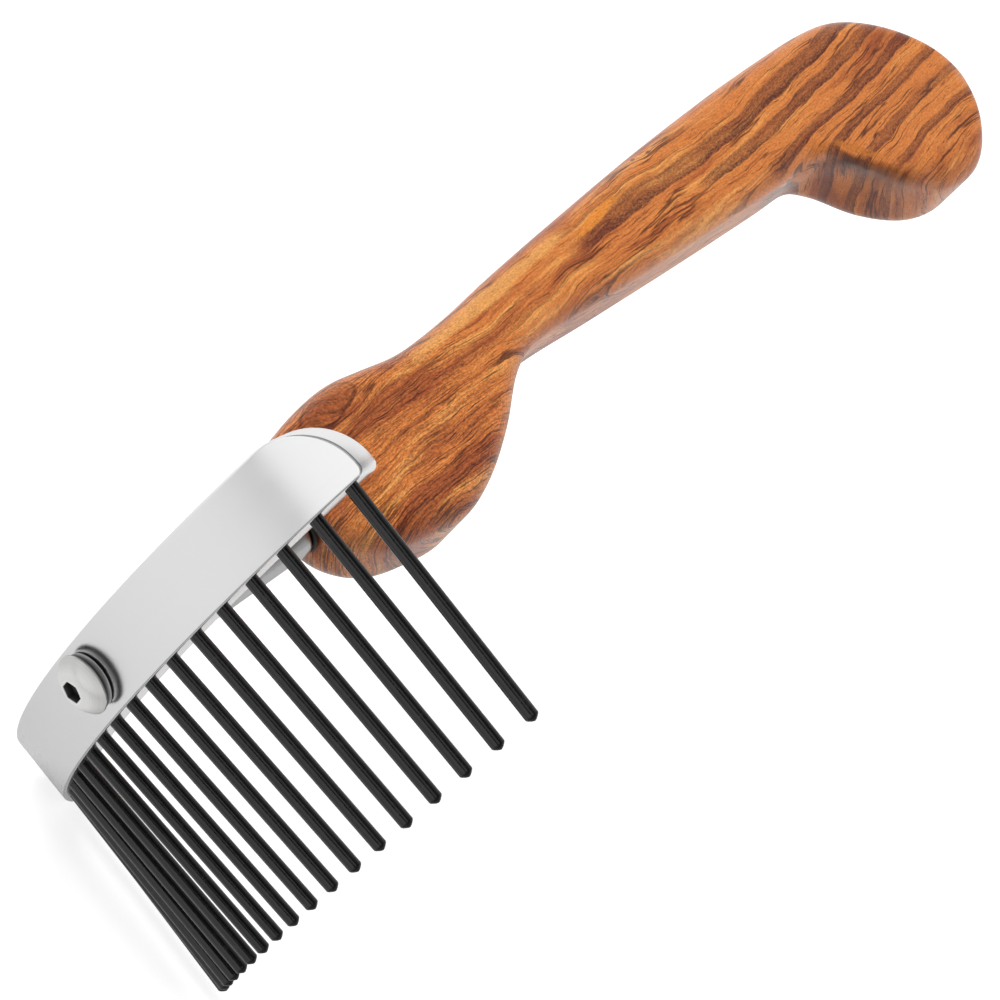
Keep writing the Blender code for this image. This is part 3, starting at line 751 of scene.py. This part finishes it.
def smoothRibs(rows, steps, smoothing):
    # A Catmull-Rom curve through the ribs, every span cut into the same number of steps, then
    # averaged with its neighbours so that the curvature changes slowly too.
    rows = np.asarray(rows, float)
    rows = np.vstack([2 * rows[0] - rows[1], rows, 2 * rows[-1] - rows[-2]])
    a, b, c, d = (rows[i:len(rows) - 3 + i, None] for i in range(4))
    t = (np.arange(steps) / steps)[None, :, None]
    square, cube = 2 * a - 5 * b + 4 * c - d, 3 * b - a - 3 * c + d
    curve = 0.5 * (2 * b + (c - a) * t + square * t**2 + cube * t**3)
    curve = np.vstack([curve.reshape(-1, rows.shape[1]), rows[-2]])
    reach = int(3 * smoothing)
    weights = np.exp(-0.5 * (np.arange(-reach, reach + 1) / smoothing) ** 2)
    before = 2 * curve[0] - curve[reach:0:-1]
    after = 2 * curve[-1] - curve[-2:-reach - 2:-1]
    padded = np.vstack([before, curve, after])
    columns = [np.convolve(column, weights / weights.sum(), "valid") for column in padded.T]
    return np.stack(columns, -1)


def halfWidth(y, start, end):
    # Half the thickness, drawn in round at the nose and at the far end.
    full = handle["thickness"] / 2
    half = full + 0 * y
    for distance, tip, taper in ((y - start, handle["noseWidth"] / 2, handle["noseTaper"]),
                                 (end - y, handle["endWidth"] / 2, handle["endTaper"])):
        short = np.clip(1 - np.maximum(distance, 0) / taper, 0, 1)
        half = np.minimum(half, tip + (full - tip) * np.sqrt(1 - short**2))
    return half


def woodLook():
    # The grain is a height across the fibres that rises with the handle and is warped a little.
    # Broad dark bands lie at set heights of it, thin dark lines where a drawn-out noise crosses
    # its middle, and pores are short dashes along it.
    look, tree, shader = newLook("handleWood")
    tints, steps = handle["colours"], handle["steps"]
    local = vectorSums(tree, "SUBTRACT", objectSpot(tree), list(headPlace))
    down, along, depth = partsOf(tree, scaled(tree, local, 1000))
    up = sums(tree, "MULTIPLY", down, -1)
    inward = sums(tree, "SUBTRACT", depth, handle["thickness"] / 2)

    def times(first, second):
        return sums(tree, "MULTIPLY", first, second)

    def drawnOut(name, across):
        # Noise with a pace of its own in each direction of the wood.
        alongPace, acrossPace, depthPace, detail, roughness = handle["noises"][name]
        spot = vectorOf(tree, times(along, alongPace), times(across, acrossPace),
                        times(depth, depthPace))
        return noiseOf(tree, spot, 1, detail, roughness)

    def between(value, low, high, first=0, last=1):
        return put(tree, "ShaderNodeMapRange", {
            "Value": value, "From Min": low, "From Max": high, "To Min": first, "To Max": last,
        }, interpolation_type="SMOOTHSTEP").outputs[0]

    def offFrom(value, middle):
        return sums(tree, "ABSOLUTE", sums(tree, "SUBTRACT", value, middle))

    def patch(y, height, halfLength, halfHeight, slope, halfDepth):
        # How far a point is from the middle of a patch on the near side, in half sizes.
        offY = sums(tree, "SUBTRACT", along, y)
        offUp = weighed(tree, offY, -slope, sums(tree, "SUBTRACT", up, height))
        offs = ((offY, halfLength), (offUp, halfHeight), (inward, halfDepth))
        spot = vectorOf(tree, *(sums(tree, "DIVIDE", off, size) for off, size in offs))
        return offUp, lengthOf(tree, spot)

    # the grain's height: level on the grip, rising over the hook, and spread round the eye
    pastHook = sums(tree, "SUBTRACT", along, handle["hookStart"])
    pastHook = sums(tree, "SMOOTH_MAX", pastHook, 0, handle["hookBlend"])
    onGrip = sums(tree, "SUBTRACT", along, handle["gripMiddle"])
    grain = weighed(tree, onGrip, handle["gripSlope"], up)
    grain = weighed(tree, pastHook, handle["hookSlope"], grain)
    grain = weighed(tree, inward, handle["depthTilt"], grain)
    small = drawnOut("small", up)
    grain = swung(tree, drawnOut("broad", up), handle["broadWarp"], grain)
    grain = swung(tree, small, handle["smallWarp"], grain)
    eyeUp, eyeFar = patch(*handle["eye"], handle["eyeDepth"])
    eyeFar = swung(tree, small, handle["eyeWarp"], eyeFar)
    spread = times(eyeUp, between(eyeFar, *steps["eyeSpread"]))
    grain = sums(tree, "SUBTRACT", grain, spread)

    # ground colour in soft streaks, calmer on the hook, and slow patches of a redder tone
    calm = between(along, *steps["calm"])
    streak = swung(tree, drawnOut("streak", grain), calm, 0.5)
    stops = [(at, tints[name]) for at, name in handle["ground"]]
    ground = ramp(tree, streak, stops, "LINEAR")
    nose = between(along, *steps["nose"])
    zone = weighed(tree, nose, handle["noseRed"], drawnOut("zone", grain))
    reddened = times(between(zone, *steps["red"]), handle["redShare"])
    colour = blend(tree, reddened, ground, tints["red"])

    # thin dark lines: a few veins, and hairs that are close on the nose and the lower grip
    vein = between(offFrom(drawnOut("vein", grain), 0.5), *steps["vein"])
    vein = times(vein, between(drawnOut("veinGap", grain), *steps["veinGap"]))
    hair = weighed(tree, nose, handle["noseHair"], drawnOut("hair", grain))
    hair = between(hair, *steps["hair"])
    busy = times(between(along, *steps["busyStart"]), between(along, *steps["busyEnd"]))
    busy = sums(tree, "MAXIMUM", nose, busy)
    often = between(drawnOut("hairGap", grain), *steps["hairGap"])
    often = weighed(tree, busy, handle["busyHair"], often)
    often = sums(tree, "MINIMUM", often, 1)
    often = weighed(tree, often, handle["hairShare"], handle["leastHair"])
    lines = sums(tree, "MAXIMUM", times(vein, handle["veinShare"]), times(hair, often))
    colour = blend(tree, lines, colour, tints["line"])

    # broad bands: a thin dark edge on both sides of a granular fill
    speckle = drawnOut("speckle", grain)
    shares = None
    for middle, width, darkness, start, end in handle["bands"]:
        place = sums(tree, "SUBTRACT", grain, middle - width / 2)
        profile = levelRamp(tree, sums(tree, "DIVIDE", place, width), handle["bandProfile"])
        inside = times(between(along, start, start + handle["bandFade"]),
                       between(along, end, end - handle["bandFade"]))
        share = times(profile, times(inside, darkness))
        shares = share if shares is None else sums(tree, "MAXIMUM", shares, share)
    shares = times(shares, between(drawnOut("bandGap", grain), *steps["bandGap"]))
    shares = times(shares, between(speckle, *steps["bandGrains"]))
    colour = blend(tree, shares, colour, tints["dark"])

    # patches of figure and two painted highlights, then the eye with its dark outline
    for *place, tint, strength in handle["figuresAndHighlights"]:
        far = patch(*place, handle["patchDepth"])[1]
        far = swung(tree, small, handle["patchWarp"], far)
        colour = blend(tree, between(far, *steps["patchEdge"], 0, strength), colour, tint)
    colour = blend(tree, between(eyeFar, *steps["eyeEdge"]), colour, tints["eye"])
    rim = between(offFrom(eyeFar, 1), *steps["eyeRim"])
    colour = blend(tree, rim, colour, tints["line"])

    # pores, the speckle of the sanded fibres, and painted shade along the hook's crease
    pores = between(drawnOut("pore", grain), *steps["pore"])
    colour = blend(tree, times(pores, handle["poreShare"]), colour, tints["line"])
    swing = weighed(tree, nose, handle["noseSwing"], handle["speckleSwing"])
    colour = scaled(tree, colour, swung(tree, speckle, swing, 1))
    creaseShade = times(maskOf(tree, "creaseShade"), between(small, *steps["creaseShadeGap"]))
    colour = blend(tree, creaseShade, colour, tints["line"])

    # an oiled finish: pale streaks a little glossier, pores open, under a thin lacquer
    gloss = weighed(tree, streak, handle["streakRoughness"], handle["roughness"])
    gloss = weighed(tree, pores, handle["poreRoughness"], gloss)
    height = weighed(tree, pores, handle["poreHeight"], speckle)
    setSurface(tree, shader, colour, gloss, height, handle["relief"], handle["reliefDepth"])
    shader.inputs["Specular IOR Level"].default_value = handle["specular"]
    shader.inputs["Coat Weight"].default_value = handle["lacquer"]
    shader.inputs["Coat IOR"].default_value = handle["lacquerIndex"]
    shader.inputs["Coat Roughness"].default_value = handle["lacquerRoughness"]
    return look


def makeHandle():
    # Rings lofted through the ribs. Each is a rectangle from the back to the belly whose corners
    # are quarter rounds, and both ends are closed by rings that shrink to the last one's middle.
    rows = smoothRibs(handle["ribs"], handle["stepsPerRib"], handle["smoothing"])
    backY, backHigh, bellyY, bellyHigh = rows.T
    middle = np.stack([-(backHigh + bellyHigh) / 2, (backY + bellyY) / 2, 0 * backY], -1)
    across = np.stack([-(backHigh - bellyHigh) / 2, (backY - bellyY) / 2, 0 * backY], -1)
    reach = np.linalg.norm(across, axis=1)
    across /= reach[:, None]
    width = halfWidth(middle[:, 1], backY[0], backY[-1])
    most = np.minimum(reach, width) - handle["leastFlat"]
    backRound = np.minimum(handle["roundOver"], most)
    nearRound = np.minimum(readTable(bellyY, handle["creaseRound"]), most)
    turn = np.linspace(0, np.pi / 2, handle["roundSteps"])
    share = np.linspace(0, 1, handle["flatSteps"])[1:-1]
    sides = []
    for quarter, ease in enumerate((backRound, nearRound, backRound, backRound)):
        upSign, outSign = (1, -1, -1, 1)[quarter], (1, 1, -1, -1)[quarter]
        angle = turn + quarter * np.pi / 2
        rise = upSign * (reach - ease)[:, None] + ease[:, None] * np.cos(angle)
        side = outSign * (width - ease)[:, None] + ease[:, None] * np.sin(angle)
        sides.append(np.stack([rise, side], -1))
    loop = []
    for quarter in range(4):  # each round, then the flat that leads to the next
        here, onward = sides[quarter], sides[(quarter + 1) % 4][:, :1]
        flat = here[:, -1:] * (1 - share)[None, :, None] + onward * share[None, :, None]
        loop += [here, flat]
    rise, side = np.concatenate(loop, 1).transpose(2, 0, 1)

    # over the hook the belly's near corner hangs lower than its far one
    drop = readTable(bellyY, handle["creaseDrop"])[:, None]
    nearShare = np.clip(side / width[:, None], 0, 1) ** handle["creaseFade"]
    hung = rise - drop * nearShare * np.clip(-rise / reach[:, None], 0, 1) ** 2
    points = middle[:, None] + across[:, None] * hung[..., None]
    points[..., 2] += side

    # the crease's painted shade lies on that corner, over the first half of the hook, and fades
    # into the flat beside it
    creaseShade = np.zeros(rise.shape[1])
    corner = len(turn) + len(share)
    beside = corner + len(turn)
    creaseShade[corner:beside] = readTable(turn, handle["creaseShadeTurn"])
    creaseShade[beside:beside + len(handle["creaseShadeFlat"])] = handle["creaseShadeFlat"]
    creaseShade = creaseShade * readTable(bellyY, handle["creaseShadeAlong"])[:, None]

    shrink = np.array(handle["capRings"])[:, None, None]
    capIn = middle[:1] + (points[:1] - middle[:1]) * shrink
    capOut = middle[-1:] + (points[-1:] - middle[-1:]) * shrink[::-1]
    points = np.concatenate([capIn, points, capOut])
    creaseShade = np.pad(creaseShade, ((len(shrink), len(shrink)), (0, 0)))
    quads = gridQuads(len(points), points.shape[1])
    buildPiece("woodHandle", points, quads, woodLook(), "wood_handle",
               {"creaseShade": creaseShade})


makeHandle()
print("handle made")

view = {
    "place": (46.72, -232.11, 400.74),  # from the head, in millimetres
    "bearing": 52.62, "climb": 4.45, "roll": 39.65,  # degrees
    "lens": 117.96, "sensor": 36,  # millimetres
    "clip": (0.01, 20),  # metres
}


def makeCamera():
    # The camera looks along the tool's own level, turned by the bearing, tipped by the climb and
    # rolled. The tool's right is +z here and its up is -x.
    bearing, climb, roll = (math.radians(view[key]) for key in ("bearing", "climb", "roll"))
    level = math.cos(climb)
    right = Vector((0, math.sin(bearing), math.cos(bearing)))
    toward = Vector((math.sin(climb), -math.cos(bearing) * level, math.sin(bearing) * level))
    below = right.cross(toward)
    camX = right * math.cos(roll) + below * math.sin(roll)
    camY = right * math.sin(roll) - below * math.cos(roll)
    turn = Matrix((camX, camY, toward)).transposed()
    data = bpy.data.cameras.new("camera")
    data.lens, data.sensor_width, data.sensor_fit = view["lens"], view["sensor"], "HORIZONTAL"
    data.clip_start, data.clip_end = view["clip"]
    camera = addObject("camera", data)
    place = Vector(headPlace) + Vector(view["place"]) / 1000
    camera.matrix_world = Matrix.Translation(place) @ turn.to_4x4()
    bpy.context.scene.camera = camera


makeCamera()

studio = {
    "floorSize": 6, "floorTone": 0.74, "floorRoughness": 0.9,
    "cameraLift": 0.66, "glossLift": 0.24,  # the floor's own light, as the camera and gloss see it
    "worldFill": 0.34,
    "lamps": (  # name, place, size, power
        ("key", (-0.62, -0.08, 0.95), 0.8, 7.3),
        ("side", (0.75, 0.75, 0.5), 0.7, 3.4),
    ),
    # what gloss sees round the tines' axis: degrees from straight up, brightness
    "cards": (
        (-180, 0.75), (-100, 0.92), (-62, 1), (-43, 1), (-40, 0), (-25, 0), (-22, 0.85),
        (-1, 0.75), (2, 0), (24, 0), (29, 0.25), (48, 0.3), (62, 0.6), (90, 0.7), (180, 0.75),
    ),
}


def raysOf(tree):
    # Whether the camera asks, and whether gloss or glass does.
    rays = put(tree, "ShaderNodeLightPath").outputs
    gloss = sums(tree, "MAXIMUM", rays["Is Glossy Ray"], rays["Is Transmission Ray"])
    return rays["Is Camera Ray"], gloss


def makeFloor():
    # Pale matt paper that keeps the shadow; what the camera and gloss see of it is lifted.
    half = studio["floorSize"] / 2
    corners = [(-half, -half, 0), (half, -half, 0), (half, half, 0), (-half, half, 0)]
    mesh = bpy.data.meshes.new("floor")
    mesh.from_pydata(corners, [], [(0, 1, 2, 3)])
    look, tree, shader = newLook("floorPaper")
    shader.inputs["Base Color"].default_value = (*grey(studio["floorTone"]), 1)
    shader.inputs["Roughness"].default_value = studio["floorRoughness"]
    shader.inputs["Specular IOR Level"].default_value = 0
    camera, gloss = raysOf(tree)
    lift = sums(tree, "MULTIPLY", camera, studio["cameraLift"])
    lift = weighed(tree, gloss, studio["glossLift"], lift)
    shader.inputs["Emission Color"].default_value = (1, 1, 1, 1)
    tree.links.new(lift, shader.inputs["Emission Strength"])
    mesh.materials.append(look)
    addObject("floor", mesh)


def makeWorld():
    # White for the camera, the cards for gloss, and an even fill for all other light.
    world = bpy.data.worlds.new("studio")
    bpy.context.scene.world = world
    world.use_nodes = True
    tree = world.node_tree
    fill = studio["worldFill"]
    way = put(tree, "ShaderNodeTexCoord").outputs["Generated"]
    x, y, z = partsOf(tree, way)
    angle = sums(tree, "ARCTAN2", y, z)
    share = weighed(tree, angle, 0.5 / math.pi, 0.5)  # of a whole turn
    stops = [((degrees + 180) / 360, bright) for degrees, bright in studio["cards"]]
    cards = levelRamp(tree, share, stops, "LINEAR")
    camera, gloss = raysOf(tree)
    strength = weighed(tree, camera, 1 - fill, fill)
    strength = weighed(tree, gloss, sums(tree, "SUBTRACT", cards, fill), strength)
    background = tree.nodes["Background"]
    background.inputs["Color"].default_value = (1, 1, 1, 1)
    tree.links.new(strength, background.inputs["Strength"])


def makeLamps():
    for name, place, size, power in studio["lamps"]:
        data = bpy.data.lights.new(name, "AREA")
        data.shape, data.size, data.energy = "DISK", size, power
        lamp = addObject(name, data)
        lamp.location = place
        lamp.visible_glossy = False  # gloss shows the cards alone
        lamp.rotation_euler = (-Vector(place)).to_track_quat("-Z", "Y").to_euler()


makeFloor()
makeWorld()
makeLamps()
bpy.context.scene.view_settings.view_transform = "Standard"
print("camera, floor and light made")
